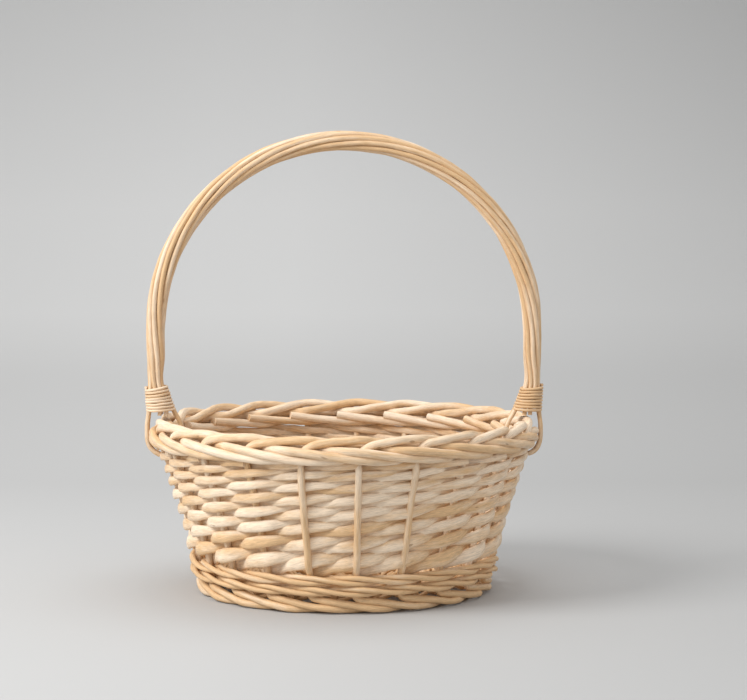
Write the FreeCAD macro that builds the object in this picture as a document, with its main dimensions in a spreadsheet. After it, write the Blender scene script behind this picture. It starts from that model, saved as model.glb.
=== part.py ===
"""A round market basket of peeled willow with a fixed roped bow handle, rod by rod.

Frame: millimetres, +Z up, origin on the floor at the centre of the foot. The bow handle
stands in the XZ plane, so the basket's front is -Y. A place on the wall is written as
(pitches, radius, height): pitches counts stake spacings anticlockwise from +X, seen from above.
"""

import FreeCAD, Part
import math
import os
from types import SimpleNamespace

import Sketcher

from FreeCAD import Placement, Rotation, Vector

os.makedirs("parts", exist_ok=True)
doc = FreeCAD.newDocument("market_basket")

DRIVING_DIMENSIONS = [
    ("stake_count", 21, "upright side stakes round the basket"),
    ("stake_diameter", 4.9, "side stakes, foot to border"),
    ("wale_level", 13, "height of the wale's underside"),
    ("wale_rod_diameter", 3.7, "each of the three wale rods"),
    ("wale_rounds", 2, "rounds made by each wale rod"),
    ("siding_level", 32, "centre height where each siding rod starts"),
    ("siding_strokes", 15, "stakes passed by one siding rod"),
    ("siding_first_rise", 6.6, "climb of the first stroke"),
    ("siding_rise_step", 0.2, "loss of climb at each stroke, as the rod thins"),
    ("wall_radius", 109.6, "stake centre line at the top of the wale"),
    ("wall_flare", 0.26, "outward lean of the stakes above the wale"),
    ("wall_curve", 0.0009, "growth of that lean with height"),
    ("rim_level", 108, "height where the stakes turn down into the border"),
    ("handle_leg", 141.5, "handle centre line from the middle of the basket"),
    ("handle_spring", 195.6, "height where the bow's half circle starts"),
    ("handle_core_diameter", 7.4, "thick rod inside the handle"),
    ("rope_rod_count", 9, "thin rods roped round the core"),
    ("rope_rod_diameter", 3.8, "each roping rod"),
    ("rope_turns", 1.15, "turns of the roping from one binding to the other"),
    ("binding_top", 154, "upper edge of each handle binding"),
    ("binding_foot", 134, "lower edge of each handle binding"),
    ("binder_diameter", 2.0, "thin binding rod"),
    ("base_level", 11.5, "centre height of the base sticks"),
    ("base_stick_reach", 103.5, "length of the base sticks from the middle"),
    ("pierced_stick_diameter", 7.6, "five base sticks with slits"),
    ("through_stick_diameter", 4.6, "five base sticks pushed through the slits"),
    ("base_weaver_diameter", 3.1, "thin rods woven round the base sticks"),
]


def fill_sheet():
    """Writes the driving dimensions to the document's sheet and reads them back."""
    sheet = doc.addObject("Spreadsheet::Sheet", "dimensions")
    for row, (alias, value, note) in enumerate(DRIVING_DIMENSIONS, start=1):
        sheet.set(f"A{row}", note)
        sheet.set(f"B{row}", str(value))
        sheet.setAlias(f"B{row}", alias)
    doc.recompute()
    return SimpleNamespace(**{alias: float(sheet.get(alias)) for alias, _, _ in DRIVING_DIMENSIONS})


size = fill_sheet()
stakes = int(size.stake_count)
PITCH_ANGLE = 360 / stakes


# ---------------------------------------------------------------- bent, tapered rods

BEND_SHARE = 0.47  # part of the shorter neighbouring run that each bend takes up
LONGEST_BEND = 250.0  # bends are no slacker than this radius
STRAIGHT = 0.15  # degrees; a smaller turn is left as it is


def turn_between(before, after):
    """The angle in degrees between two directions."""
    return math.degrees(before.getAngle(after))


def bend_radius(before, after):
    """The radius of the arc that joins two runs, given as vectors with their lengths."""
    half_turn = before.getAngle(after) / 2
    room = BEND_SHARE * min(before.Length, after.Length)
    return min(LONGEST_BEND, room / math.tan(half_turn))


def corners_through(places):
    """Corner points whose rounded corners pass through the given places."""
    corners = list(places)
    for _ in range(4):
        moved = list(corners)
        for i in range(1, len(places) - 1):
            before = corners[i] - corners[i - 1]
            after = corners[i + 1] - corners[i]
            if turn_between(before, after) < STRAIGHT:
                continue
            inward = (Vector(after).normalize() - Vector(before).normalize()).normalize()
            cut_back = bend_radius(before, after) * (1 / math.cos(before.getAngle(after) / 2) - 1)
            moved[i] = corners[i] + (places[i] - (corners[i] + inward * cut_back))
        corners = moved
    return corners


def ring(centre, axis, seam, radius):
    """A circle edge that starts at the seam direction."""
    circle = Part.Circle(centre, axis, radius)
    circle.XAxis = seam
    return circle.toShape()


def straight_run(start, end, start_radius, end_radius, seam):
    """A cone or cylinder face between two rings on one line."""
    edge = Part.makeLine(start + seam * start_radius, end + seam * end_radius)
    return edge.revolve(start, Vector(end - start).normalize(), 360).Faces[0]


def bent_corners(places, diameters):
    """The corners of a rod with their diameters, without those where it runs straight on."""
    corners = corners_through(places)
    kept = [(corners[0], diameters[0])]
    for i in range(1, len(corners) - 1):
        before, after = corners[i] - kept[-1][0], corners[i + 1] - corners[i]
        if turn_between(before, after) > STRAIGHT:
            kept.append((corners[i], diameters[i]))
    kept.append((corners[-1], diameters[-1]))
    return kept


def rod(places, diameters):
    """One closed solid rod through the given places: straight runs joined by tangent arcs."""
    kept = bent_corners(places, diameters)
    here, radius = kept[0][0], kept[0][1] / 2
    heading = (kept[1][0] - here).normalize()
    seam = heading.cross(Vector(0.31, 0.17, 0.93)).normalize()
    faces = [Part.Face(Part.Wire([ring(here, heading, seam, radius)]))]
    for i in range(1, len(kept) - 1):
        corner, next_radius = kept[i][0], kept[i][1] / 2
        before, after = corner - kept[i - 1][0], kept[i + 1][0] - corner
        turn = turn_between(before, after)
        bend = bend_radius(before, after)
        if bend < 1.02 * next_radius:
            raise ValueError(f"bend {i} of a rod is tighter than the rod: {bend:.2f}")
        set_back = bend * math.tan(math.radians(turn / 2))
        arc_start = corner - heading * set_back
        axis = heading.cross(after).normalize()
        middle = arc_start + axis.cross(heading) * bend
        faces.append(straight_run(here, arc_start, radius, next_radius, seam))
        faces.append(ring(arc_start, heading, seam, next_radius).revolve(middle, axis, turn).Faces[0])
        seam = Rotation(axis, turn).multVec(seam)
        heading = Vector(after).normalize()
        here = corner + heading * set_back
        radius = next_radius
    end, end_radius = kept[-1][0], kept[-1][1] / 2
    faces.append(straight_run(here, end, radius, end_radius, seam))
    faces.append(Part.Face(Part.Wire([ring(end, heading, seam, end_radius)])))
    skin = Part.makeCompound(faces)
    skin.sewShape()
    solid = Part.Solid(skin.Shells[0])
    if solid.Volume < 0:
        solid.reverse()
    return solid


def on_wall(pitches, radius, height):
    """A point given by stake spacings, distance from the middle and height."""
    angle = math.radians(pitches * PITCH_ANGLE)
    return Vector(radius * math.cos(angle), radius * math.sin(angle), height)


def add_piece(label, shape, placement=None):
    """A sub-part of the document, with its own name and place."""
    piece = doc.addObject("Part::Feature", label)
    piece.Label = label
    piece.Shape = shape
    piece.Placement = placement or Placement()
    return piece


def turned(pitches):
    """The placement that carries a rod round the basket by so many stake spacings."""
    return Placement(Vector(), Rotation(Vector(0, 0, 1), pitches * PITCH_ANGLE))


# ---------------------------------------------------------------- side stakes

WALE_TOP = 28  # the stakes stand nearly upright below this height and lean out above it
UPRIGHT_LEAN = 0.08
SNUG = 0.1  # air left between a weaver and the stake that it passes
SIDING_SHARE = 0.93  # thickness of a siding rod as a share of its climb


def stake_radius(height):
    """Distance of the stakes' centre line from the middle at a height."""
    above = height - WALE_TOP
    if above < 0:
        return size.wall_radius + UPRIGHT_LEAN * above
    return size.wall_radius + size.wall_flare * above + size.wall_curve * above**2


def foot_route():
    """The lower end: it runs down past two neighbours on the outside and ends inside the third."""
    edge = stake_radius(0)
    return [
        (2.65, edge - 5.8, 2.9),
        (2.3, edge - 5.5, 2.8),
        (1.9, edge - 2.2, 2.6),
        (1.6, edge + 1.2, 2.9),
        (1.3, edge + 1.9, 4.1),
        (1.0, edge + 2.0, 5.8),
        (0.5, edge + 1.8, 8.4),
        (0.2, edge + 1.3, 9.8),
        (0.03, edge + 0.6, 11.5),
        (0.0, stake_radius(15) - 0.5, 15.0),
    ]


OUTER_STAKES = (15, 16, 17)  # at the front: the siding passes these three on the inside only
OUTER_FROM, OUTER_TO = 36, 97  # heights between which they stand outside the siding


def siding_stroke(stroke):
    """Height and thickness of a siding rod at a stake, by the number of strokes before it."""
    lost = size.siding_rise_step * stroke * (stroke - 1) / 2
    height = size.siding_level + size.siding_first_rise * stroke - lost
    return height, SIDING_SHARE * (size.siding_first_rise - size.siding_rise_step * stroke)


def siding_thickness(height):
    """Thickness of the siding rods at a height, between the two strokes nearest to it."""
    lower = max(n for n in range(int(size.siding_strokes)) if siding_stroke(n)[0] <= height)
    return siding_stroke(lower)[1]


def upright_route(number):
    """The standing part, from the wale to the border."""
    levels = [21, 30, 45, 65, 86, size.rim_level - 5]
    if number not in OUTER_STAKES:
        return [(0.0, stake_radius(level), level) for level in levels]
    route = [(0.0, stake_radius(level), level) for level in (21, 29)]
    for level in (OUTER_FROM, 50, 66, 82, OUTER_TO):
        out = (siding_thickness(level) + size.stake_diameter) / 2 + SNUG
        route.append((0.0, stake_radius(level) + out, level))
    return route + [(0.0, stake_radius(size.rim_level - 2) + 1.6, size.rim_level - 2)]


def border_route():
    """The upper end, as steps from the rim: pitches, outward and upward.

    It bends over its neighbour, lies inside the next one, comes out and runs down in front of
    two, goes in again and ends cut, leaning on the inside of the border.
    """
    steps = [
        (0.0, 1.0, 5.5),
        (0.03, 2.2, 10.0),
        (0.14, 3.0, 14.2),
        (0.42, 3.0, 17.2),
        (0.8, 2.4, 19.0),
        (1.08, 1.0, 19.2),
        (1.32, -2.2, 18.0),
        (1.65, -5.2, 15.8),
        (2.0, -5.6, 13.6),
        (2.25, -2.6, 12.4),
        (2.48, 2.0, 12.4),
        (2.75, 6.4, 12.4),
        (3.1, 7.6, 10.8),
        (3.5, 7.4, 8.4),
        (4.0, 6.6, 5.8),
        (4.4, 4.6, 5.0),
        (4.7, 0.2, 4.8),
        (5.0, -5.2, 4.6),
        (5.35, -7.4, 5.8),
        (5.9, -8.2, 8.2),
        (6.4, -8.6, 10.8),
    ]
    rim = stake_radius(size.rim_level)
    return [(pitches, rim + out, size.rim_level + up) for pitches, out, up in steps]


def side_stake(number):
    """One stake: foot, upright and border in a single rod."""
    route = foot_route() + upright_route(number) + border_route()
    places = [on_wall(*step) for step in route]
    butt, tip = size.stake_diameter + 0.2, size.stake_diameter - 0.2
    share = 1 / (len(places) - 1)
    diameters = [butt + (tip - butt) * i * share for i in range(len(places))]
    return rod(places, diameters)


# ---------------------------------------------------------------- wale and siding

WALE_START = 4  # the stake at the back right where the wale starts and steps up
STEP_UP = 4  # stakes over which each round climbs to the next one


def rounds_climbed(passed):
    """How many rounds' height a wale rod has climbed: each round is level, then steps up."""
    whole, rest = divmod(passed, stakes)
    return whole + max(0.0, (rest - (stakes - STEP_UP)) / STEP_UP)


def wale_rod(number):
    """In front of two stakes and behind one, a stake further on than the rod before it."""
    reach = (size.stake_diameter + size.wale_rod_diameter) / 2 + SNUG
    thick = size.wale_rod_diameter + 0.15
    places = []
    for step in range(int(size.wale_rounds) * stakes - number):
        side, lift = [(-1, 0.0), (1, 0.5), (1, -0.5)][step % 3]
        height = size.wale_level + thick * (1.0 + lift + 2 * rounds_climbed(number + step))
        stake = WALE_START + number + step
        places.append(on_wall(stake, stake_radius(height) + side * reach, height))
    return rod(places, [size.wale_rod_diameter] * len(places))


def siding_rod(number):
    """One rod of the siding: in front of a stake, behind the next, one spacing up per stroke."""
    places, diameters = [], []
    for stroke in range(int(size.siding_strokes) + 1):
        height, thickness = siding_stroke(stroke)
        stake = number + stroke
        reach = (size.stake_diameter + thickness) / 2 + SNUG
        if stroke % 2 == 0:
            reach = -reach
        elif stake % stakes in OUTER_STAKES:
            reach = 0
        places.append(on_wall(stake, stake_radius(height) + reach, height))
        diameters.append(thickness)
    return rod(places, diameters)


def build_wall():
    for i in range(stakes):
        add_piece(f"side_stake_{i + 1:02d}", side_stake(i), turned(i))
    for i in range(stakes):
        add_piece(f"siding_rod_{i + 1:02d}", siding_rod(i))
    for i in range(3):
        add_piece(f"wale_rod_{i + 1}", wale_rod(i))


# ---------------------------------------------------------------- handle

BOW_STEP = 24.0  # spacing of the roping rods' points along the bow
BOUND_SQUEEZE = 0.84  # thickness that core and rods keep under the binding


def bow_frame(along):
    """Centre, outward and front directions at a length measured up the left leg and round."""
    leg = size.handle_spring - size.binding_top
    arc = math.pi * size.handle_leg
    if along < leg:
        return Vector(-size.handle_leg, 0, size.binding_top + along), Vector(-1, 0, 0)
    if along > leg + arc:
        drop = along - leg - arc
        return Vector(size.handle_leg, 0, size.handle_spring - drop), Vector(1, 0, 0)
    angle = math.pi * (1 - (along - leg) / arc)
    outward = Vector(math.cos(angle), 0, math.sin(angle))
    return Vector(0, 0, size.handle_spring) + outward * size.handle_leg, outward


def bow_length():
    return math.pi * size.handle_leg + 2 * (size.handle_spring - size.binding_top)


def rope_place(rod_number, along):
    """A point of one roping rod's helix round the core."""
    centre, outward = bow_frame(along)
    share = along / bow_length()
    angle = 2 * math.pi * (rod_number / size.rope_rod_count + size.rope_turns * share)
    squeeze = 1 - (1 - BOUND_SQUEEZE) * max(0.0, 1 - 8 * min(share, 1 - share))
    reach = squeeze * (size.handle_core_diameter + size.rope_rod_diameter) / 2 + SNUG
    return centre + outward * reach * math.cos(angle) + Vector(0, reach * math.sin(angle), 0)


def rope_tail(last_place, side):
    """A roping rod's end below the binding's top: outside, inside or on top of the border."""
    out = abs(last_place.x) - size.handle_leg
    across = last_place.y
    if out > 2.5:
        route = [(146.8, 0.9, 134), (148.2, 0.9, 121), (146.9, 0.85, 109), (143.9, 0.8, 104.5)]
    elif out < -2.5:
        route = [(128.0, 0.95, 134), (122.9, 1.0, 124), (121.5, 1.0, 110)]
    else:
        route = [(137.3 + 1.3 * out, 1.15, 136), (137.3 + 1.4 * out, 1.2, 131.5)]
    return [Vector(side * radius, across * spread, height) for radius, spread, height in route]


def rope_rod(rod_number):
    steps = round(bow_length() / BOW_STEP)
    places = [rope_place(rod_number, bow_length() * i / steps) for i in range(steps + 1)]
    left = rope_tail(places[0], -1)
    right = rope_tail(places[-1], 1)
    thin = BOUND_SQUEEZE * size.rope_rod_diameter
    diameters = [thin] * (len(left) + 1) + [size.rope_rod_diameter] * (steps - 1)
    diameters += [thin] * (len(right) + 1)
    return rod(left[::-1] + places + right, diameters)


def binding(side):
    """A thin rod wound round the foot of the handle, from its top edge down."""
    turns = int((size.binding_top - size.binding_foot) / (size.binder_diameter + 0.35))
    per_turn = 10
    places = []
    for step in range(turns * per_turn + 1):
        down = step / (turns * per_turn)
        angle = 2 * math.pi * step / per_turn
        middle = size.handle_leg - 3.6 * down
        wide = size.binder_diameter / 2 + 6.7 + 2.6 * down
        deep = size.binder_diameter / 2 + 6.7 + 1.2 * down
        height = size.binding_top - 1 - (size.binding_top - size.binding_foot - 2) * down
        x = side * (middle + wide * math.cos(angle))
        places.append(Vector(x, deep * math.sin(angle), height))
    return rod(places, [size.binder_diameter] * len(places))


def body_plane(body, role):
    """One of a body's own origin planes."""
    return next(f for f in body.Origin.OriginFeatures if f.Role == role)


def flat_sketch(body, name, role):
    """A sketch on one of a body's own origin planes."""
    sketch = body.newObject("Sketcher::SketchObject", name)
    sketch.AttachmentSupport = [(body_plane(body, role), "")]
    sketch.MapMode = "FlatFace"
    return sketch


def core_circle(body, name, x, height, diameter):
    """A round section of the core, level, at the side of the handle given by the sign of x."""
    section = flat_sketch(body, name, "XY_Plane")
    section.AttachmentOffset = Placement(Vector(x, 0, height), Rotation())
    section.addGeometry(Part.Circle(Vector(), Vector(0, 0, 1), diameter / 2))
    section.addConstraint(Sketcher.Constraint("Diameter", 0, diameter))
    return section


CORE_TIP = 0.35  # share of the core's thickness left at its pushed-in ends


def build_handle_core():
    """The bow: a half circle on straight legs, with long thinned ends pushed into the border."""
    body = doc.addObject("PartDesign::Body", "handle_core")
    body.Label = "handle_core"
    leg, spring, foot = size.handle_leg, size.handle_spring, size.binding_top
    path = flat_sketch(body, "bow_path", "XZ_Plane")
    middle = Part.Circle(Vector(0, spring, 0), Vector(0, 0, 1), leg)
    path.addGeometry(Part.LineSegment(Vector(-leg, foot, 0), Vector(-leg, spring, 0)))
    path.addGeometry(Part.ArcOfCircle(middle, 0, math.pi))
    path.addGeometry(Part.LineSegment(Vector(leg, spring, 0), Vector(leg, foot, 0)))
    section = core_circle(body, "core_section", -leg, foot, size.handle_core_diameter)
    section.setExpression("AttachmentOffset.Base.x", "-dimensions.handle_leg")
    section.setExpression("AttachmentOffset.Base.z", "dimensions.binding_top")
    section.setExpression("Constraints[0]", "dimensions.handle_core_diameter")
    bow = body.newObject("PartDesign::AdditivePipe", "bow")
    bow.Profile = section
    bow.Spine = path
    for word, side in (("left", -1), ("right", 1)):
        top = core_circle(body, f"{word}_end_top", side * leg, foot, size.handle_core_diameter)
        top.setExpression("Constraints[0]", "dimensions.handle_core_diameter")
        low = size.binding_foot + 2
        tip = core_circle(
            body, f"{word}_end_tip", side * (leg - 3), low, CORE_TIP * size.handle_core_diameter
        )
        tip.setExpression("Constraints[0]", f"{CORE_TIP} * dimensions.handle_core_diameter")
        end = body.newObject("PartDesign::AdditiveLoft", f"{word}_end")
        end.Profile = top
        end.Sections = [tip]
        end.Ruled = True
    body.Tip = end
    return body


def build_handle():
    build_handle_core()
    for i in range(int(size.rope_rod_count)):
        add_piece(f"handle_rope_rod_{i + 1}", rope_rod(i))
    add_piece("handle_binding_left", binding(-1))
    add_piece("handle_binding_right", binding(1))


# ---------------------------------------------------------------- base

STICKS_EACH_WAY = 5
FIRST_SPOKE = 19  # the spokes are shared out in fives from here: right, back, left, front
SLATH_HALF = 26.0  # the sticks lie side by side up to here, then fan out
EDGE_THICKNESS = 0.62  # share of a pierced stick's thickness left at its ends
WEAVE_START = 27.0
GROUPS_END = 33.0  # weavers pass whole bundles of sticks up to this radius
PAIRS_END = 44.0  # and pairs of sticks up to this one
WEAVE_END = 100.5


def spoke_end(spoke, radius):
    """A point on a spoke; the base sticks reach the edge midway between two stakes."""
    return on_wall(spoke + 0.5, radius, size.base_level)


def stick_half(spoke, beside, along):
    """Half of a base stick, from its end in to the middle, given as directions in the base."""
    near = beside + along * SLATH_HALF + Vector(0, 0, size.base_level)
    return [spoke_end(spoke, size.base_stick_reach), near, near - along * 10]


def base_stick(spokes, beside, along, thickness, edge_share):
    """A stick that fans out to one spoke each way from its place in the middle."""
    half = stick_half(spokes[0], beside, along)
    other = stick_half(spokes[1], beside, -along)
    shares = [edge_share, 1, 1, 1, 1, edge_share]
    return rod(half + other[::-1], [thickness * share for share in shares])


def pierced_sticks():
    """The five thick sticks, each slit through its middle for the thin ones."""
    solids = []
    slit_long = STICKS_EACH_WAY * size.through_stick_diameter + 1.5
    slit_high = size.through_stick_diameter + 0.2
    for i in range(STICKS_EACH_WAY):
        beside = Vector(0, (i - 2) * size.pierced_stick_diameter, 0)
        spokes = (FIRST_SPOKE + i, 12 - i)
        thickness = size.pierced_stick_diameter - 0.05
        stick = base_stick(spokes, beside, Vector(1, 0, 0), thickness, EDGE_THICKNESS)
        corner = Vector(-slit_long / 2, beside.y - thickness, size.base_level - slit_high / 2)
        solids.append(stick.cut(Part.makeBox(slit_long, 2 * thickness, slit_high, corner)))
    return Part.makeCompound(solids)


def through_sticks():
    """The five thin sticks in the slits, and the odd stick that makes the count up."""
    solids = []
    for i in range(STICKS_EACH_WAY):
        beside = Vector((i - 2) * (size.through_stick_diameter + 0.1), 0, 0)
        spokes = (7 - i, 13 + i)
        solids.append(
            base_stick(spokes, beside, Vector(0, 1, 0), size.through_stick_diameter, 1)
        )
    odd = [spoke_end(18, 34), spoke_end(18, 70), spoke_end(18, size.base_stick_reach)]
    solids.append(rod(odd, [size.through_stick_diameter] * 3))
    return Part.makeCompound(solids)


def weaver_side(step, radius):
    """Over or under: by bundles at the middle, then by pairs, then stick by stick."""
    place = (step - FIRST_SPOKE) % stakes
    if radius < GROUPS_END:
        return (-1) ** min(place // STICKS_EACH_WAY, 3)
    if radius < PAIRS_END:
        return (-1) ** (place // 2)
    return (-1) ** step


def base_weaver(number):
    """One of two rods that spiral outwards together, each over where the other is under."""
    row = size.base_weaver_diameter + 0.05
    start = WEAVE_START + number * row
    steps = int((WEAVE_END - start) / (2 * row) * stakes)
    places = []
    for step in range(steps + 1):
        radius = start + 2 * row * step / stakes
        outward = (radius - SLATH_HALF) / (size.base_stick_reach - SLATH_HALF)
        stick = size.pierced_stick_diameter * (1 - (1 - EDGE_THICKNESS) * outward)
        lift = (stick + size.base_weaver_diameter) / 2 * weaver_side(step, radius)
        turn = 1 if number else -1
        places.append(spoke_end(step, radius) + Vector(0, 0, turn * lift))
    return rod(places, [size.base_weaver_diameter] * len(places))


def build_base():
    add_piece("base_pierced_sticks", pierced_sticks())
    add_piece("base_through_sticks", through_sticks())
    add_piece("base_weavers", Part.makeCompound([base_weaver(0), base_weaver(1)]))


# ---------------------------------------------------------------- build, check and write


def check_and_write():
    """Stops on any failed object; then writes one file for each named sub-part."""
    doc.recompute()
    failed = [o.Name for o in doc.Objects if {"Invalid", "Error"} & set(o.State)]
    if failed:
        raise RuntimeError(f"failed objects: {failed}")
    for piece in doc.Objects:
        if piece.TypeId not in ("Part::Feature", "PartDesign::Body"):
            continue
        if piece.Shape.isNull() or not piece.Shape.isValid():
            raise RuntimeError(f"{piece.Label} has no valid shape")
        piece.Shape.exportStep(f"parts/{piece.Label}.step")
        print(f"{piece.Label:24s} solids {len(piece.Shape.Solids)} volume {piece.Shape.Volume:9.0f}")


build_wall()
build_handle()
build_base()
check_and_write()
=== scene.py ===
"""A round market basket of peeled willow with a roped bow handle, drawn rod by rod.

Every rod is a smooth curve with a thickness at each point, made a mesh, roughened a little and
finished with one of a few willow materials. A place on the wall is (pitches, radius, height):
pitches counts stake spacings anticlockwise from +X, and radius and height are in millimetres.
"""

import math
import random

import bpy
import numpy as np
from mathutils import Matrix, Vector


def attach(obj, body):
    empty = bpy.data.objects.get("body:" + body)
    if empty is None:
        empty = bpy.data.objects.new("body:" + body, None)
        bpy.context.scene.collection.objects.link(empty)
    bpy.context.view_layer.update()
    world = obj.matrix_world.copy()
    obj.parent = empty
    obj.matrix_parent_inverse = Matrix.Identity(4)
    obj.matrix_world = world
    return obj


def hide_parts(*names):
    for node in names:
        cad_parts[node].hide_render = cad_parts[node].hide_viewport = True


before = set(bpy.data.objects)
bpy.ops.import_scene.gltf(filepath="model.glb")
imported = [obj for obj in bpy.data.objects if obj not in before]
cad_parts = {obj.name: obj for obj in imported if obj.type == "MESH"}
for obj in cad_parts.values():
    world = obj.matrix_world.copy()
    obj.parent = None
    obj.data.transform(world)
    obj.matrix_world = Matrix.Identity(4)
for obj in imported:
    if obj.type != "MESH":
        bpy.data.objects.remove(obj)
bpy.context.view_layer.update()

bl_info = {
    "name": "Woven Market Basket",
    "version": (1, 0, 0),
    "blender": (4, 5, 0),
    "location": "View3D > Sidebar > Basket",
    "description": "Draws a willow basket rod by rod and lights it in a small studio",
    "category": "Object",
}

MM = 0.001


def count_nodes(prefix):
    return sum(name.startswith(prefix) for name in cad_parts)


STAKES = count_nodes("side_stake_")
ROPE_RODS = count_nodes("handle_rope_rod_")


# ---------------------------------------------------------------- sizes and colours


class BasketRods(bpy.types.PropertyGroup):
    """Thicknesses of the willow and how far it strays from the ideal line."""

    stake: bpy.props.FloatProperty(
        name="Stake", description="Thickness of the side stakes", default=0.0050, unit="LENGTH"
    )
    wale: bpy.props.FloatProperty(
        name="Wale rod", description="Thickness of the wale rods", default=0.0038, unit="LENGTH"
    )
    siding_fullness: bpy.props.FloatProperty(
        name="Siding fullness",
        description="Height of a siding rod over its stake, as a share of its climb",
        default=1.54,
    )
    siding_nip: bpy.props.FloatProperty(
        name="Siding nip",
        description="The same share where it crosses between two stakes",
        default=1.12,
    )
    siding_depth: bpy.props.FloatProperty(
        name="Siding depth",
        description="Depth of a siding rod as a share of its height; the willow is pressed oval",
        default=0.46,
    )
    rope: bpy.props.FloatProperty(
        name="Roping rod",
        description="Thickness of the handle's thin rods",
        default=0.0038,
        unit="LENGTH",
    )
    core: bpy.props.FloatProperty(
        name="Handle core", description="Thickness of the bow", default=0.0074, unit="LENGTH"
    )
    binder: bpy.props.FloatProperty(
        name="Binder", description="Thickness of the binding rod", default=0.0021, unit="LENGTH"
    )
    stray: bpy.props.FloatProperty(
        name="Stray",
        description="How far a rod strays from its route",
        default=0.0004,
        unit="LENGTH",
    )


class BasketColours(bpy.types.PropertyGroup):
    """Colours of peeled willow."""

    pale: bpy.props.FloatVectorProperty(
        name="Pale", description="Lit, dry willow", subtype="COLOR", default=(0.94, 0.76, 0.57)
    )
    honey: bpy.props.FloatVectorProperty(
        name="Honey", description="Riper stretches", subtype="COLOR", default=(0.71, 0.42, 0.17)
    )
    scar: bpy.props.FloatVectorProperty(
        name="Scar", description="Buds, nicks and dirt", subtype="COLOR", default=(0.24, 0.11, 0.04)
    )


class BasketStudio(bpy.types.PropertyGroup):
    """Camera, lights and floor."""

    distance: bpy.props.FloatProperty(
        name="Distance", description="Camera to basket", default=1.7, unit="LENGTH"
    )
    height: bpy.props.FloatProperty(
        name="Height", description="Camera above the floor", default=0.305, unit="LENGTH"
    )
    lens: bpy.props.FloatProperty(name="Lens", description="Focal length in mm", default=109.2)
    key: bpy.props.FloatProperty(name="Key light", description="Power in watts", default=29.5)
    fill: bpy.props.FloatProperty(name="Fill light", description="Power in watts", default=7.0)
    air: bpy.props.FloatProperty(name="Room light", description="World strength", default=0.76)
    backdrop: bpy.props.FloatVectorProperty(
        name="Backdrop", description="Paper colour", subtype="COLOR", default=(0.71, 0.71, 0.705)
    )


# ---------------------------------------------------------------- drawing one rod


def on_wall(pitches, radius, height):
    """A point in metres from stake spacings, and millimetres from the middle and the floor."""
    angle = 2 * math.pi * pitches / STAKES
    return Vector((radius * math.cos(angle), radius * math.sin(angle), height)) * MM


def only(thing):
    """Deselects everything but one object."""
    bpy.ops.object.select_all(action="DESELECT")
    thing.select_set(True)
    bpy.context.view_layer.objects.active = thing


def uneven_texture():
    """The soft unevenness that every rod is given."""
    texture = bpy.data.textures.get("rod_unevenness")
    if texture is None:
        texture = bpy.data.textures.new("rod_unevenness", "CLOUDS")
        texture.noise_scale = 0.011
        texture.noise_depth = 2
    return texture


TONE_SHIFT = 11  # metres along the grain between the lowest tone and the highest


def mark_mesh(mesh, length, tone):
    """Stretches the UV map to the rod's length in metres and stores the rod's own tone."""
    layer = mesh.uv_layers[0]
    layer.name = "along_round"
    flat = np.zeros(len(mesh.loops) * 2, np.float32)
    layer.data.foreach_get("uv", flat)
    flat[0::2] = flat[0::2] * length + tone * TONE_SHIFT
    layer.data.foreach_set("uv", flat)
    stored = mesh.attributes.new("rod_tone", "FLOAT", "POINT")
    stored.data.foreach_set("value", np.full(len(mesh.vertices), tone, np.float32))


def oval_section(depth):
    """A curve one unit high and less deep, to be the section of a pressed rod."""
    bpy.ops.curve.primitive_bezier_circle_add(radius=1)
    section = bpy.context.object
    section.data.resolution_u = 4
    section.scale = (depth, 1, 1)
    bpy.ops.object.transform_apply(scale=True)
    return section


def draw_rod(name, places, thicknesses, tone, steps=8, sides=12, bumps=0.0007, depth=None):
    """A rod through the places: a bezier curve with its own thickness, made a closed mesh."""
    section = oval_section(depth) if depth else None
    bpy.ops.object.select_all(action="DESELECT")
    bpy.ops.curve.primitive_bezier_curve_add(location=(0, 0, 0))
    rod = bpy.context.object
    rod.name = name
    curve = rod.data
    points = curve.splines[0].bezier_points
    points.add(len(places) - 2)
    for point, place, thickness in zip(points, places, thicknesses):
        point.co = place
        point.radius = thickness / 2
        point.handle_left_type = "AUTO"
        point.handle_right_type = "AUTO"
    if section:
        curve.twist_mode = "Z_UP"
        curve.bevel_mode = "OBJECT"
        curve.bevel_object = section
    else:
        curve.bevel_depth = 1
        curve.bevel_resolution = (sides - 4) // 2
    curve.resolution_u = steps
    curve.use_fill_caps = True
    length = curve.splines[0].calc_length()
    bpy.ops.object.convert(target="MESH")
    if section:
        bpy.data.objects.remove(section)
    bpy.ops.object.mode_set(mode="EDIT")
    bpy.ops.mesh.select_all(action="SELECT")
    bpy.ops.mesh.remove_doubles(threshold=0.00001)
    bpy.ops.mesh.normals_make_consistent(inside=False)
    bpy.ops.object.mode_set(mode="OBJECT")
    mark_mesh(rod.data, length, tone)
    bpy.ops.object.modifier_add(type="DISPLACE")
    uneven = rod.modifiers[-1]
    uneven.texture = uneven_texture()
    uneven.texture_coords = "LOCAL"
    uneven.strength = bumps
    bpy.ops.object.modifier_apply(modifier=uneven.name)
    bpy.ops.object.shade_smooth_by_angle(angle=math.radians(50))
    return rod


def strayed(places, amount, chance):
    """The places, each moved a little in a random direction."""
    return [place + Vector([chance.uniform(-amount, amount) for _ in range(3)]) for place in places]


def finish_piece(piece, slot, *nodes):
    """Puts a piece in the basket in place of its CAD nodes."""
    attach(piece, "root")
    for node in nodes:
        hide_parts(node)
    piece.data.materials.clear()
    piece.data.materials.append(bpy.data.materials[f"peeled_{slot}"])


# ---------------------------------------------------------------- routes on the wall

WALE_TOP = 28
WAIST = 109.6  # the stakes' distance from the middle at the top of the wale
RIM_LEVEL = 108
BORDER_FULLNESS = 1.24  # how much thicker a stake is drawn in the border


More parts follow.
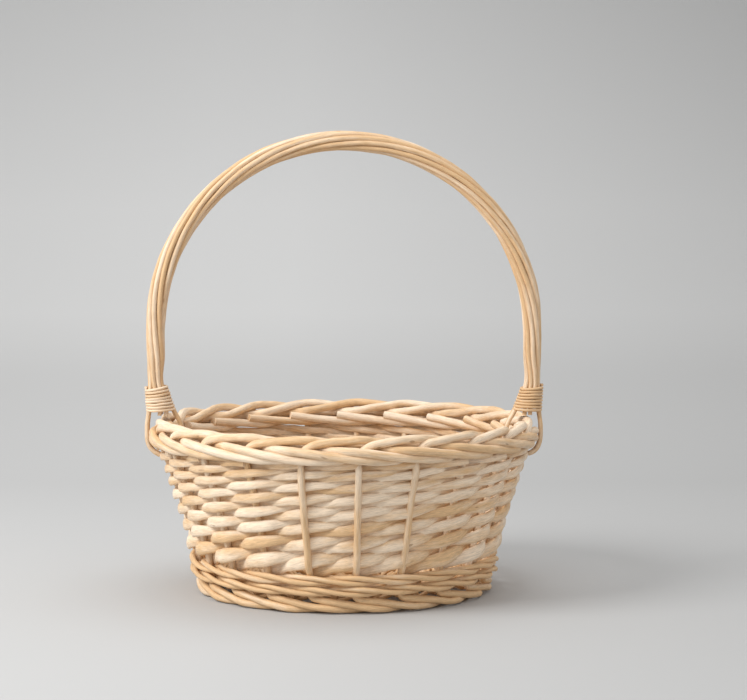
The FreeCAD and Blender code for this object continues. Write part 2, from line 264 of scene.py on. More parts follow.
def stake_radius(height):
    """Distance of the stakes' centre line from the middle at a height, in millimetres."""
    above = height - WALE_TOP
    if above < 0:
        return WAIST + 0.08 * above
    return WAIST + 0.26 * above + 0.0009 * above**2


def foot_route():
    """The lower end of a stake, from its hidden tip inside the foot up to the wale."""
    edge = stake_radius(0)
    return [
        (2.65, edge - 5.8, 3.3),
        (2.3, edge - 5.5, 3.2),
        (1.9, edge - 2.2, 3.1),
        (1.6, edge + 1.2, 3.3),
        (1.3, edge + 1.9, 4.1),
        (1.0, edge + 2.0, 5.8),
        (0.5, edge + 1.8, 8.4),
        (0.2, edge + 1.3, 9.8),
        (0.03, edge + 0.6, 11.5),
        (0.0, stake_radius(15) - 0.5, 15.0),
    ]


# At the front the siding passes three stakes on the inside only; how far each stands proud of it.
OUTER_STAKES = {15: 0.8, 16: 0.75, 17: 0.55}
OUTER_REACH = 0.35  # share of its outward reach that the siding keeps behind them

SIDING_STROKES = 15
SIDING_START = 32  # height of the first stroke
FIRST_RISE = 6.6  # climb of the first stroke
RISE_STEP = 0.2  # how much less each next stroke climbs
BUTT_SWELL = 0.2  # how much fuller the first strokes are, where they lie on the wale
BUTT_SETTLE = 1.3  # how much lower they lie
SNUG = 0.84  # share of a stake's thickness that the siding goes round

# Pitches beside the stake, and the shares of the reach and of the fullness at that place.
STROKE_SHAPE = ((-0.27, 0.76, 0.9), (0.0, 1.0, 1.0), (0.27, 0.76, 0.9))


def siding_stroke(stroke):
    """Height of a siding rod at a stake and its climb there, by the number of strokes before."""
    height = SIDING_START + FIRST_RISE * stroke - RISE_STEP / 2 * stroke * (stroke - 1)
    return height, FIRST_RISE - RISE_STEP * stroke


def upright_route(number, rods):
    """The standing part; the outer stakes stand clear of the siding's outer face."""
    if number not in OUTER_STAKES:
        return [(0.0, stake_radius(level), level) for level in (21, 30, 45, 65, 86, RIM_LEVEL - 5)]
    route = [(0.0, stake_radius(level), level) for level in (21, 27)]
    for level in (36, 50, 66, 82, 97):
        stroke = max(n for n in range(SIDING_STROKES) if siding_stroke(n)[0] <= level)
        deep = rods.siding_depth * rods.siding_fullness * siding_stroke(stroke)[1]
        out = OUTER_STAKES[number] * (deep + rods.stake / MM) / 2
        route.append((0.0, stake_radius(level) + out, level))
    return route + [(0.0, stake_radius(RIM_LEVEL - 2) + 1.6, RIM_LEVEL - 2)]


def border_route():
    """The upper end of a stake: back over the ridge, down inside, out, and in again below."""
    rim = stake_radius(RIM_LEVEL)
    steps = [
        (0.0, 1.0, 5.5),
        (0.03, 2.2, 10.0),
        (0.14, 3.0, 14.2),
        (0.42, 3.0, 17.2),
        (0.8, 2.4, 19.0),
        (1.08, 1.0, 19.2),
        (1.32, -2.2, 18.0),
        (1.65, -5.2, 15.8),
        (2.0, -5.6, 13.6),
        (2.25, -2.6, 12.4),
        (2.48, 2.0, 12.4),
        (2.75, 6.4, 12.4),
        (3.1, 7.6, 10.8),
        (3.5, 7.4, 8.4),
        (4.0, 6.6, 5.8),
        (4.4, 4.6, 5.0),
        (4.7, 0.2, 4.8),
        (5.0, -5.2, 4.6),
        (5.35, -7.4, 5.8),
        (5.9, -8.2, 8.2),
        (6.4, -8.6, 10.8),
    ]
    return [(pitches, rim + out, RIM_LEVEL + up) for pitches, out, up in steps]


class BASKET_OT_stakes(bpy.types.Operator):
    """Draw the side stakes with their plaited foot and border"""

    bl_idname = "basket.stakes"
    bl_label = "Side Stakes"

    def execute(self, context):
        rods = context.scene.basket_rods
        for number in range(STAKES):
            chance = random.Random(100 + number)
            route = foot_route() + upright_route(number, rods) + border_route()
            places = [on_wall(number + along, radius, height) for along, radius, height in route]
            places = strayed(places, rods.stray, chance)
            butt = rods.stake * chance.uniform(1.0, 1.08)
            tip = rods.stake * chance.uniform(0.95, 1.04)
            share = 1 / (len(places) - 1)
            thicknesses = [butt + (tip - butt) * i * share for i in range(len(places))]
            plaited = len(border_route())
            thicknesses[-plaited + 2 :] = [t * BORDER_FULLNESS for t in thicknesses[-plaited + 2 :]]
            node = f"side_stake_{number + 1:02d}"
            stake = draw_rod(f"stake_{number + 1:02d}", places, thicknesses, chance.random())
            finish_piece(stake, "stake_willow", node)
        return {"FINISHED"}


class BASKET_OT_siding(bpy.types.Operator):
    """Draw the tapered rods of the siding, each climbing from its own stake"""

    bl_idname = "basket.siding"
    bl_label = "Siding"

    def execute(self, context):
        rods = context.scene.basket_rods
        for number in range(STAKES):
            chance = random.Random(200 + number)
            places, thicknesses = self.route(number, rods)
            places = strayed(places, rods.stray, chance)
            thicknesses = [t * chance.uniform(0.97, 1.04) for t in thicknesses]
            node = f"siding_rod_{number + 1:02d}"
            rod = draw_rod(
                f"siding_{number + 1:02d}",
                places,
                thicknesses,
                chance.random(),
                steps=6,
                depth=rods.siding_depth,
            )
            finish_piece(rod, "siding_willow", node)
        return {"FINISHED"}

    @staticmethod
    def route(number, rods):
        """Places at each stake, beside it and midway, with the rod's thickness there."""
        places, thicknesses = [], []
        for stroke in range(SIDING_STROKES + 1):
            height, rise = siding_stroke(stroke)
            side = 1 if stroke % 2 else -1
            butt = max(0.0, 1 - stroke / 2)
            full = rods.siding_fullness * rise * (1 + BUTT_SWELL * butt)
            reach = side * (SNUG * rods.stake / MM + rods.siding_depth * full) / 2
            if side == 1 and (number + stroke) % STAKES in OUTER_STAKES:
                reach *= OUTER_REACH
            for beside, out, swell in STROKE_SHAPE:
                level = height + beside * rise - BUTT_SETTLE * butt
                radius = stake_radius(level) + out * reach
                places.append(on_wall(number + stroke + beside, radius, level))
                thicknesses.append(full * swell * MM)
            if stroke < SIDING_STROKES:
                level = height + rise / 2 - BUTT_SETTLE * butt
                places.append(on_wall(number + stroke + 0.5, stake_radius(level), level))
                thicknesses.append(rods.siding_nip * rise * (1 + BUTT_SWELL * butt) * MM)
        return places[1:-1], thicknesses[1:-1]


WALE_FOOT = 13  # height of the underside of the lowest row
WALE_ROW = 3.85  # height of one row; a round has two
WALE_START = 4  # the stake at the back right where the wale starts and steps up
STEP_UP = 4  # stakes over which each round climbs to the next one


def rounds_climbed(passed):
    """How many rounds' height a wale rod has climbed: each round is level, then steps up."""
    whole, rest = divmod(passed, STAKES)
    return whole + max(0.0, (rest - (STAKES - STEP_UP)) / STEP_UP)


class BASKET_OT_wale(bpy.types.Operator):
    """Draw the three rods of the wale"""

    bl_idname = "basket.wale"
    bl_label = "Wale"

    def execute(self, context):
        rods = context.scene.basket_rods
        reach = (rods.stake + rods.wale) / MM / 2
        for number in range(3):
            chance = random.Random(300 + number)
            places = []
            for step in range(2 * STAKES - number):
                side, lift = [(-1, 0.0), (1, 0.5), (1, -0.5)][step % 3]
                rows = 1.0 + lift + 2 * rounds_climbed(number + step)
                height = WALE_FOOT + WALE_ROW * rows
                radius = stake_radius(height) + side * reach
                places.append(on_wall(WALE_START + number + step, radius, height))
            places = strayed(places, rods.stray * 0.7, chance)
            thicknesses = [rods.wale * chance.uniform(0.95, 1.05) for _ in places]
            node = f"wale_rod_{number + 1}"
            rod = draw_rod(f"wale_{number + 1}", places, thicknesses, chance.random(), sides=10)
            finish_piece(rod, "wale_willow", node)
        return {"FINISHED"}


# ---------------------------------------------------------------- handle

HANDLE_LEG = 141.5  # the legs' distance from the middle, and the radius of the bow
HANDLE_SPRING = 195.6  # height at which the legs end and the bow begins
BINDING_TOP = 154
BINDING_FOOT = 134
BINDING_TURNS = 8
BINDING_SLANT = 0.12  # how much higher the top turns lie on the outside, as a slope
ROPE_TURNS = 1.15
BOUND_SQUEEZE = 0.84  # how much thinner the roping is at the bindings
SQUEEZE_END = 1 / 8  # share of the bow's length over which it gets full again
TAIL_SPLIT = 2.5  # a rod farther out or in than this passes outside or inside the border


def bow_length():
    """Length of the bow between the tops of the two bindings, in millimetres."""
    return math.pi * HANDLE_LEG + 2 * (HANDLE_SPRING - BINDING_TOP)


def bow_frame(along):
    """Centre and outward direction in millimetres at a length up the left leg and round."""
    leg = HANDLE_SPRING - BINDING_TOP
    arc = math.pi * HANDLE_LEG
    if along < leg:
        return Vector((-HANDLE_LEG, 0, BINDING_TOP + along)), Vector((-1, 0, 0))
    if along > leg + arc:
        drop = along - leg - arc
        return Vector((HANDLE_LEG, 0, HANDLE_SPRING - drop)), Vector((1, 0, 0))
    angle = math.pi * (1 - (along - leg) / arc)
    outward = Vector((math.cos(angle), 0, math.sin(angle)))
    return Vector((0, 0, HANDLE_SPRING)) + outward * HANDLE_LEG, outward


def rope_place(number, along, rods):
    """A point of one roping rod's helix round the core, in millimetres."""
    centre, outward = bow_frame(along)
    share = along / bow_length()
    angle = 2 * math.pi * (number / ROPE_RODS + ROPE_TURNS * share)
    squeeze = 1 - (1 - BOUND_SQUEEZE) * max(0.0, 1 - min(share, 1 - share) / SQUEEZE_END)
    reach = squeeze * (rods.core + rods.rope) / 2 / MM
    return centre + outward * reach * math.cos(angle) + Vector((0, reach * math.sin(angle), 0))


def rope_tail(last_place, side):
    """A roping rod's end below the binding: outside, inside or on top of the border."""
    out = abs(last_place.x) - HANDLE_LEG
    across = last_place.y
    if out > TAIL_SPLIT:
        route = [(146.8, 0.9, 134), (148.2, 0.9, 121), (146.9, 0.85, 109)]
        route += [(143.5, 0.8, 104.2), (138.8, 0.75, 101.5)]
    elif out < -TAIL_SPLIT:
        route = [(128.0, 0.95, 134), (122.9, 1.0, 124), (121.5, 1.0, 110)]
    else:
        route = [(137.3 + 1.3 * out, 1.15, 136), (137.3 + 1.4 * out, 1.2, 131.5)]
    return [Vector((side * radius, across * spread, height)) for radius, spread, height in route]


class BASKET_OT_roping(bpy.types.Operator):
    """Draw the bow and the thin rods roped round it"""

    bl_idname = "basket.roping"
    bl_label = "Roped Handle"

    def execute(self, context):
        rods = context.scene.basket_rods
        self.core(rods)
        steps = 24
        for number in range(ROPE_RODS):
            chance = random.Random(400 + number)
            places = [rope_place(number, bow_length() * i / steps, rods) for i in range(steps + 1)]
            left, right = rope_tail(places[0], -1), rope_tail(places[-1], 1)
            thin = BOUND_SQUEEZE * rods.rope
            thicknesses = [thin] * (len(left) + 1) + [rods.rope] * (steps - 1)
            thicknesses += [thin] * (len(right) + 1)
            thicknesses = [t * chance.uniform(0.97, 1.04) for t in thicknesses]
            places = [place * MM for place in left[::-1] + places + right]
            places = strayed(places, rods.stray * 0.5, chance)
            node = f"handle_rope_rod_{number + 1}"
            tone = chance.random()
            rod = draw_rod(f"roping_{number + 1}", places, thicknesses, tone, bumps=0.0004)
            finish_piece(rod, "handle_willow", node)
        return {"FINISHED"}

    @staticmethod
    def core(rods):
        """The thick rod inside the roping, thinned where it goes into the border."""
        count = 20
        places = [bow_frame(bow_length() * i / count)[0] * MM for i in range(count + 1)]
        ends = [Vector((side * (HANDLE_LEG - 3), 0, BINDING_FOOT + 2)) * MM for side in (-1, 1)]
        places = [ends[0]] + places + [ends[1]]
        thicknesses = [rods.core * 0.4] + [rods.core] * (count + 1) + [rods.core * 0.4]
        bow = draw_rod("bow", places, thicknesses, 0.5, bumps=0.0002)
        finish_piece(bow, "handle_willow", "handle_core")


class BASKET_OT_bindings(bpy.types.Operator):
    """Draw the thin rods wound round both feet of the handle"""

    bl_idname = "basket.bindings"
    bl_label = "Handle Bindings"

    def execute(self, context):
        rods = context.scene.basket_rods
        for word, side in (("left", -1), ("right", 1)):
            chance = random.Random(500 + side)
            places = strayed(self.route(side, rods.binder / MM), 0.00015, chance)
            thicknesses = [rods.binder * chance.uniform(0.95, 1.08) for _ in places]
            rod = draw_rod(
                f"binding_{word}",
                places,
                thicknesses,
                chance.random(),
                steps=6,
                sides=10,
                bumps=0.0002,
            )
            finish_piece(rod, "handle_willow", f"handle_binding_{word}")
        return {"FINISHED"}

    @staticmethod
    def route(side, thickness):
        """A helix down round the handle's foot, widening towards the border."""
        per_turn = 10
        steps = BINDING_TURNS * per_turn
        places = []
        for step in range(steps + 1):
            down = step / steps
            angle = 2 * math.pi * step / per_turn
            middle = HANDLE_LEG - 3.6 * down
            wide = thickness / 2 + 6.7 + 2.6 * down
            deep = thickness / 2 + 6.7 + 1.2 * down
            height = BINDING_TOP - 1 - (BINDING_TOP - BINDING_FOOT - 2) * down
            x = side * (middle + wide * math.cos(angle))
            height += BINDING_SLANT * (1 - down) * side * wide * math.cos(angle)
            places.append(Vector((x, deep * math.sin(angle), height)) * MM)
        return places


# ---------------------------------------------------------------- base

BASE_LEVEL = 11.5
STICK_REACH = 103.5
SLATH_HALF = 26.0  # half the width of the square where the sticks cross
FIRST_SPOKE = 19
PIERCED_STICK = 7.6
THROUGH_STICK = 4.6
BASE_WEAVER = 3.1
EDGE_THICKNESS = 0.62  # share of its thickness that a pierced stick has at its ends
WEAVE_START = 27.0
GROUPS_END = 33.0  # the weave takes bundles up to here, pairs up to the next, then single sticks
PAIRS_END = 44.0
WEAVE_END = 100.5


def spoke_end(spoke, radius):
    """A point in the base, halfway between two stakes."""
    return on_wall(spoke + 0.5, radius, BASE_LEVEL)


def stick_half(spoke, beside, along):
    """The places of half a base stick, from its tip to the square where the sticks cross."""
    near = (beside + along * SLATH_HALF + Vector((0, 0, BASE_LEVEL))) * MM
    return [spoke_end(spoke, STICK_REACH), near, near - along * 10 * MM]


def weaver_side(step, radius):
    """Over or under: by bundles at the middle, then by pairs, then stick by stick."""
    place = (step - FIRST_SPOKE) % STAKES
    if radius < GROUPS_END:
        return (-1) ** min(place // 5, 3)
    if radius < PAIRS_END:
        return (-1) ** (place // 2)
    return (-1) ** step


def join_rods(name, rods):
    """Makes one piece of several rods."""
    only(rods[0])
    for rod in rods:
        rod.select_set(True)
    bpy.ops.object.join()
    rods[0].name = name
    return rods[0]


class BASKET_OT_base(bpy.types.Operator):
    """Draw the base sticks and the rods woven round them"""

    bl_idname = "basket.base"
    bl_label = "Base"

    def execute(self, context):
        pierced = join_rods("pierced_sticks", self.pierced())
        finish_piece(pierced, "base_willow", "base_pierced_sticks")
        through = join_rods("through_sticks", self.through())
        finish_piece(through, "base_willow", "base_through_sticks")
        weavers = join_rods("base_weave", [self.weaver(0), self.weaver(1)])
        finish_piece(weavers, "base_willow", "base_weavers")
        return {"FINISHED"}

    @staticmethod
    def stick(name, spokes, beside, along, sizes, tone):
        """One base stick: straight across the square, then fanned out to its two spokes."""
        thickness, edge_share = sizes
        places = stick_half(spokes[0], beside, along)
        places += stick_half(spokes[1], beside, -along)[::-1]
        shares = [edge_share, 1, 1, 1, 1, edge_share]
        return draw_rod(name, places, [thickness * MM * share for share in shares], tone)

    def pierced(self):
        sticks = []
        for i in range(5):
            beside = Vector((0, (i - 2) * PIERCED_STICK, 0))
            spokes = (FIRST_SPOKE + i, 12 - i)
            along = Vector((1, 0, 0))
            sizes = (PIERCED_STICK, EDGE_THICKNESS)
            sticks.append(self.stick("pierced", spokes, beside, along, sizes, 0.17 * i))
        return sticks

    def through(self):
        sticks = []
        for i in range(5):
            beside = Vector(((i - 2) * (THROUGH_STICK + 0.1), 0, 0))
            spokes = (7 - i, 13 + i)
            along = Vector((0, 1, 0))
            sizes = (THROUGH_STICK, 1)
            sticks.append(self.stick("through", spokes, beside, along, sizes, 0.19 * i))
        places = [spoke_end(18, radius) for radius in (34, 70, STICK_REACH)]
        sticks.append(draw_rod("odd", places, [THROUGH_STICK * MM] * 3, 0.5))
        return sticks

    @staticmethod
    def weaver(number):
        """One of the two rods that spiral out, passing opposite sides of the sticks."""
        row = BASE_WEAVER + 0.05
        start = WEAVE_START + number * row
        places = []
        for step in range(int((WEAVE_END - start) / (2 * row) * STAKES) + 1):
            radius = start + 2 * row * step / STAKES
            outward = (radius - SLATH_HALF) / (STICK_REACH - SLATH_HALF)
            stick = PIERCED_STICK * (1 - (1 - EDGE_THICKNESS) * outward)
            lift = (stick + BASE_WEAVER) / 2 * weaver_side(step, radius)
            turn = 1 if number else -1
            places.append(spoke_end(step, radius) + Vector((0, 0, turn * lift)) * MM)
        chance = random.Random(600 + number)
        thicknesses = [BASE_WEAVER * MM * chance.uniform(0.94, 1.04) for _ in places]
        tone = chance.random()
        return draw_rod("weaver", places, thicknesses, tone, steps=5, sides=8, bumps=0.0003)


# ---------------------------------------------------------------- willow


def add_socket(group, name, kind, way):
    group.interface.new_socket(name=name, in_out=way, socket_type=kind)


class Nodes:
    """Adds shader nodes to one tree and links them by name."""

    def __init__(self, tree):
        self.tree = tree
        self.tree.nodes.clear()

    def add(self, kind, label, inputs=None, **settings):
        node = self.tree.nodes.new(kind)
        node.label = label
        for key, value in settings.items():
            setattr(node, key, value)
        for key, value in (inputs or {}).items():
            if isinstance(value, bpy.types.NodeSocket):
                self.tree.links.new(value, node.inputs[key])
            else:
                node.inputs[key].default_value = value
        return node

    def maths(self, operation, first, second=0.0, label="", clamp=False):
        inputs = {0: first, 1: second}
        node = self.add("ShaderNodeMath", label or operation.lower(), inputs, operation=operation)
        node.use_clamp = clamp
        return node.outputs[0]

    def noise(self, label, vector, scale, detail=2.0, roughness=0.5):
        inputs = {"Vector": vector, "Scale": scale, "Detail": detail, "Roughness": roughness}
        return self.add("ShaderNodeTexNoise", label, inputs).outputs["Fac"]

    def ramp(self, label, value, low, high, to_low=0.0, to_high=1.0):
        inputs = {"Value": value, 1: low, 2: high, 3: to_low, 4: to_high}
        return self.add("ShaderNodeMapRange", label, inputs).outputs[0]

    def grey(self, light):
        return self.add("ShaderNodeCombineColor", "grey", {0: light, 1: light, 2: light}).outputs[0]

    def mix(self, label, share, first, second, blend="MIX"):
        node = self.tree.nodes.new("ShaderNodeMix")
        node.label = label
        node.data_type = "RGBA"
        node.blend_type = blend
        for key, value in ((0, share), (6, first), (7, second)):
            if isinstance(value, bpy.types.NodeSocket):
                self.tree.links.new(value, node.inputs[key])
            else:
                node.inputs[key].default_value = value
        return node.outputs[2]


def willow_group():
    """Shared look of a willow rod: long fibres, riper stretches, bud scars and fine cracks."""
    group = bpy.data.node_groups.new("willow_rod", "ShaderNodeTree")
    add_socket(group, "Ripeness", "NodeSocketFloat", "INPUT")
    for name in ("Pale", "Honey", "Scar"):
        add_socket(group, name, "NodeSocketColor", "INPUT")
    add_socket(group, "Colour", "NodeSocketColor", "OUTPUT")
    add_socket(group, "Roughness", "NodeSocketFloat", "OUTPUT")
    add_socket(group, "Height", "NodeSocketFloat", "OUTPUT")
    nodes = Nodes(group)
    given = nodes.add("NodeGroupInput", "given")
    result = nodes.add("NodeGroupOutput", "result")
    uv = nodes.add("ShaderNodeUVMap", "along and round", uv_map="along_round")
    split = nodes.add("ShaderNodeSeparateXYZ", "split", {0: uv.outputs[0]})
    along, turn = split.outputs[0], nodes.maths("MULTIPLY", split.outputs[1], 2 * math.pi)
    tone = nodes.add("ShaderNodeAttribute", "tone", attribute_name="rod_tone").outputs["Fac"]
    round_x, round_y = nodes.maths("COSINE", turn), nodes.maths("SINE", turn)

    def around(stretch, radius):
        """A vector that goes round the rod without a seam and along it at another scale."""
        inputs = {
            "X": nodes.maths("MULTIPLY", along, stretch),
            "Y": nodes.maths("MULTIPLY", round_x, radius),
            "Z": nodes.maths("MULTIPLY", round_y, radius),
        }
        return nodes.add("ShaderNodeCombineXYZ", "round the rod", inputs).outputs[0]

    fibres = nodes.noise("fibres", around(55, 2.2), 2.6, 4.0, 0.6)
    hair = nodes.noise("fine fibres", around(90, 6.0), 3.0, 3.0, 0.6)
    ripe = nodes.noise("riper stretches", around(16, 0.45), 1.0, 2.0, 0.5)
    blotch = nodes.noise("blotches", around(120, 1.0), 1.0, 3.0, 0.6)
    buds = nodes.noise("buds", around(70, 0.9), 1.3, 1.0, 0.4)
    bud_mask = nodes.ramp("bud scars", buds, 0.74, 0.80)
    crack_mask = nodes.ramp("cracks", fibres, 0.66, 0.74, 0.0, 0.35)
    share = nodes.maths("ADD", nodes.ramp("ripe", ripe, 0.35, 0.68), given.outputs["Ripeness"])
    own_tone = nodes.maths("MULTIPLY", nodes.maths("SUBTRACT", tone, 0.5), 0.9)
    share = nodes.maths("ADD", share, own_tone)
    blotched = nodes.ramp("blotched", blotch, 0.4, 0.7, -0.12, 0.2)
    share = nodes.maths("ADD", share, blotched, clamp=True)
    share = nodes.maths("MULTIPLY", share, 0.75)
    body = nodes.mix("body", share, given.outputs["Pale"], given.outputs["Honey"])
    shade = nodes.ramp("fibre shade", fibres, 0.3, 0.7, 0.74, 1.12)
    fine = nodes.ramp("fine shade", hair, 0.3, 0.7, 0.90, 1.06)
    grey = nodes.grey(nodes.maths("MULTIPLY", shade, fine))
    body = nodes.mix("fibred", 1.0, body, grey, "MULTIPLY")
    marks = nodes.maths("MAXIMUM", nodes.maths("MULTIPLY", bud_mask, 0.55), crack_mask)
    colour = nodes.mix("marked", marks, body, given.outputs["Scar"])
    fibre_relief = nodes.maths("MULTIPLY", fibres, 0.6)
    height = nodes.maths("ADD", fibre_relief, nodes.maths("MULTIPLY", hair, 0.4))
    height = nodes.maths("ADD", height, nodes.maths("MULTIPLY", bud_mask, 0.5))
    rough = nodes.ramp("roughness", fibres, 0.2, 0.8, 0.42, 0.62)
    nodes.tree.links.new(colour, result.inputs["Colour"])
    nodes.tree.links.new(rough, result.inputs["Roughness"])
    nodes.tree.links.new(height, result.inputs["Height"])
    return group


FOOT_RIPENESS_AND_SHADE = 0.8  # how much riper and darker the willow is drawn near the floor, partly riper willow and partly painted contact shade, and up to what height
FOOT_DARKENING_UP_TO = 0.034


def willow(name, group, colours, ripeness, shine):
    """One willow finish, riper near the floor and darker there, partly as painted contact shade."""
    material = bpy.data.materials.new(f"peeled_{name}")
    material.use_nodes = True
    nodes = Nodes(material.node_tree)
    rod = nodes.add("ShaderNodeGroup", "willow rod", node_tree=group)
    place = nodes.add("ShaderNodeTexCoord", "place").outputs["Object"]
    level = nodes.add("ShaderNodeSeparateXYZ", "level", {0: place}).outputs[2]
    # Near the floor the colour turns riper and darker: partly riper willow, partly painted shade
    # where the basket meets the floor.
    riper_and_shaded_at_foot = ripeness + FOOT_RIPENESS_AND_SHADE
    ripe = nodes.ramp("riper and painted shade at the foot", level, 0.004, FOOT_DARKENING_UP_TO, riper_and_shaded_at_foot, ripeness)
    nodes.tree.links.new(ripe, rod.inputs["Ripeness"])
    for key in ("Pale", "Honey", "Scar"):
        rod.inputs[key].default_value = (*getattr(colours, key.lower()), 1)
    bump = nodes.add("ShaderNodeBump", "fibre relief", {"Strength": 0.35, "Distance": 0.0004})
    nodes.tree.links.new(rod.outputs["Height"], bump.inputs["Height"])
    surface = nodes.add("ShaderNodeBsdfPrincipled", "surface")
    surface.inputs["Specular IOR Level"].default_value = shine
    nodes.tree.links.new(rod.outputs["Colour"], surface.inputs["Base Color"])
    nodes.tree.links.new(rod.outputs["Roughness"], surface.inputs["Roughness"])
    nodes.tree.links.new(bump.outputs[0], surface.inputs["Normal"])
    output = nodes.add("ShaderNodeOutputMaterial", "output")
    nodes.tree.links.new(surface.outputs[0], output.inputs["Surface"])


class BASKET_OT_willow(bpy.types.Operator):
    """Mix the willow materials"""

    bl_idname = "basket.willow"
    bl_label = "Willow"

    def execute(self, context):
        colours = context.scene.basket_colours
        group = willow_group()
        willow("stake_willow", group, colours, 0.05, 0.4)
        willow("siding_willow", group, colours, 0.0, 0.4)
        willow("wale_willow", group, colours, 0.2, 0.35)
        willow("handle_willow", group, colours, 0.42, 0.45)
        # The base is drawn riper and darker than the sides, as painted shade where it shows through
        # the holes of the foot.
        willow("base_willow", group, colours, 0.3, 0.3)
        return {"FINISHED"}


# ---------------------------------------------------------------- studio


# The paper, the lights and the camera, in metres
HALF_WIDTH = 6
HALF_DEPTH = 5
WALL_HEIGHT = 6
CURVE_RADIUS = 3.0
KEY_PLACE = (-1.35, -0.75, 1.25)
FILL_PLACE = (0.35, 0.3, 1.7)
LIT_POINT = (0, 0, 0.1)
VIEWED_POINT = (0.0221, 0, 0.1803)


def aimed(thing, target):
    """Turns a light or camera to look at a point."""
    thing.rotation_euler = (Vector(target) - thing.location).to_track_quat("-Z", "Y").to_euler()


def soft_light(name, place, size, power):
    """A round soft light that looks at the basket; its size is in metres, its power in watts."""
    bpy.ops.object.light_add(type="AREA", location=place)
    lamp = bpy.context.object
    lamp.name = name
    lamp.data.shape = "DISK"
    lamp.data.size = size
    lamp.data.energy = power
    aimed(lamp, LIT_POINT)


def paper_material(studio):
    """Matt paper with painted light falloff: darker on the floor and towards the sides and top of
    the wall, standing in for how the lamps' light falls.
    """
    material = bpy.data.materials.new("paper")
    material.use_nodes = True
    nodes = Nodes(material.node_tree)
    place = nodes.add("ShaderNodeTexCoord", "place").outputs["Object"]
    split = nodes.add("ShaderNodeSeparateXYZ", "split", {0: place})
    across, back, up = split.outputs
    # Painted light: the floor darker than the wall and the paper darker towards the right, left and
    # top, in place of the lamps' own falloff.
    wall = nodes.ramp("wall share", back, 0.6, 2.6, 0.68, 1.16)
    right = nodes.ramp("to the right", across, -0.1, 1.1, 1.0, 0.7)
    left = nodes.ramp("to the left", across, -1.1, -0.3, 0.9, 1.0)
    top = nodes.ramp("to the top", up, 0.25, 0.85, 1.0, 0.82)
    painted_light_wall_and_right = nodes.maths("MULTIPLY", wall, right)
    painted_light_left_and_top = nodes.maths("MULTIPLY", left, top)
    grey = nodes.grey(nodes.maths("MULTIPLY", painted_light_wall_and_right, painted_light_left_and_top))
    colour = nodes.mix("paper colour", 1.0, (*studio.backdrop, 1), grey, "MULTIPLY")
    inputs = {"Base Color": colour, "Roughness": 0.85}
    surface = nodes.add("ShaderNodeBsdfPrincipled", "surface", inputs)
    output = nodes.add("ShaderNodeOutputMaterial", "output")
    nodes.tree.links.new(surface.outputs[0], output.inputs["Surface"])
    return material


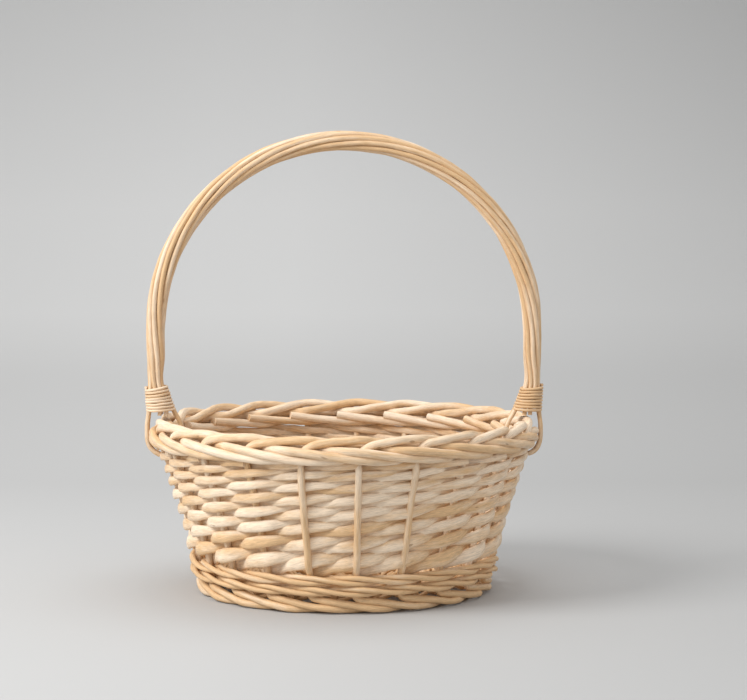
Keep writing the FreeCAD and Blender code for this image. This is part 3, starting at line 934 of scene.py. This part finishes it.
class BASKET_OT_studio(bpy.types.Operator):
    """Set up the paper backdrop, the lights and the camera"""

    bl_idname = "basket.studio"
    bl_label = "Studio"

    def execute(self, context):
        studio = context.scene.basket_studio
        self.paper(studio)
        soft_light("key", KEY_PLACE, 1.0, studio.key)
        soft_light("fill", FILL_PLACE, 1.4, studio.fill)
        world = bpy.data.worlds.new("room")
        context.scene.world = world
        world.use_nodes = True
        background = world.node_tree.nodes["Background"]
        background.inputs["Color"].default_value = (1, 1, 1, 1)
        background.inputs["Strength"].default_value = studio.air
        bpy.ops.object.camera_add(location=(0, -studio.distance, studio.height))
        camera = bpy.context.object
        camera.data.lens = studio.lens
        camera.data.sensor_width = 36
        aimed(camera, VIEWED_POINT)
        context.scene.camera = camera
        context.scene.view_settings.view_transform = "Standard"
        return {"FINISHED"}

    @staticmethod
    def paper(studio):
        """A floor that curves up into a wall behind the basket."""
        bpy.ops.object.select_all(action="DESELECT")
        bpy.ops.mesh.primitive_plane_add(size=2, location=(0, 0, 0))
        paper = bpy.context.object
        paper.name = "paper"
        paper.scale = (HALF_WIDTH, HALF_DEPTH, 1)
        bpy.ops.object.transform_apply(scale=True)
        bpy.ops.object.mode_set(mode="EDIT")
        bpy.ops.mesh.select_mode(type="EDGE")
        bpy.ops.mesh.select_all(action="DESELECT")
        bpy.ops.object.mode_set(mode="OBJECT")
        for edge in paper.data.edges:
            ends = [paper.data.vertices[v].co for v in edge.vertices]
            edge.select = all(end.y > HALF_DEPTH - 0.1 for end in ends)
        bpy.ops.object.mode_set(mode="EDIT")
        bpy.ops.mesh.extrude_region_move(TRANSFORM_OT_translate={"value": (0, 0, WALL_HEIGHT)})
        bpy.ops.object.mode_set(mode="OBJECT")
        for edge in paper.data.edges:
            ends = [paper.data.vertices[v].co for v in edge.vertices]
            edge.select = all(end.y > HALF_DEPTH - 0.1 and end.z < 0.1 for end in ends)
        bpy.ops.object.mode_set(mode="EDIT")
        bpy.ops.mesh.bevel(offset=CURVE_RADIUS, segments=24, affect="EDGES")
        bpy.ops.object.mode_set(mode="OBJECT")
        bpy.ops.object.shade_smooth()
        paper.data.materials.append(paper_material(studio))


# ---------------------------------------------------------------- add-on


OPERATORS = (
    BASKET_OT_willow,
    BASKET_OT_stakes,
    BASKET_OT_siding,
    BASKET_OT_wale,
    BASKET_OT_roping,
    BASKET_OT_bindings,
    BASKET_OT_base,
    BASKET_OT_studio,
)


class BASKET_PT_panel(bpy.types.Panel):
    """Lists the basket's parts and sizes"""

    bl_label = "Market Basket"
    bl_idname = "BASKET_PT_panel"
    bl_space_type = "VIEW_3D"
    bl_region_type = "UI"
    bl_category = "Basket"

    def draw(self, context):
        for operator in OPERATORS:
            self.layout.operator(operator.bl_idname)
        scene = context.scene
        for group in (scene.basket_rods, scene.basket_colours, scene.basket_studio):
            for name in group.__annotations__:
                self.layout.prop(group, name)


CLASSES = (BasketRods, BasketColours, BasketStudio, *OPERATORS, BASKET_PT_panel)


def register():
    for cls in CLASSES:
        bpy.utils.register_class(cls)
    bpy.types.Scene.basket_rods = bpy.props.PointerProperty(type=BasketRods)
    bpy.types.Scene.basket_colours = bpy.props.PointerProperty(type=BasketColours)
    bpy.types.Scene.basket_studio = bpy.props.PointerProperty(type=BasketStudio)


def unregister():
    del bpy.types.Scene.basket_studio
    del bpy.types.Scene.basket_colours
    del bpy.types.Scene.basket_rods
    for cls in reversed(CLASSES):
        bpy.utils.unregister_class(cls)


def main():
    register()
    bpy.ops.basket.willow()
    bpy.ops.basket.stakes()
    bpy.ops.basket.siding()
    bpy.ops.basket.wale()
    bpy.ops.basket.roping()
    bpy.ops.basket.bindings()
    bpy.ops.basket.base()
    bpy.ops.basket.studio()


if __name__ == "__main__":
    main()
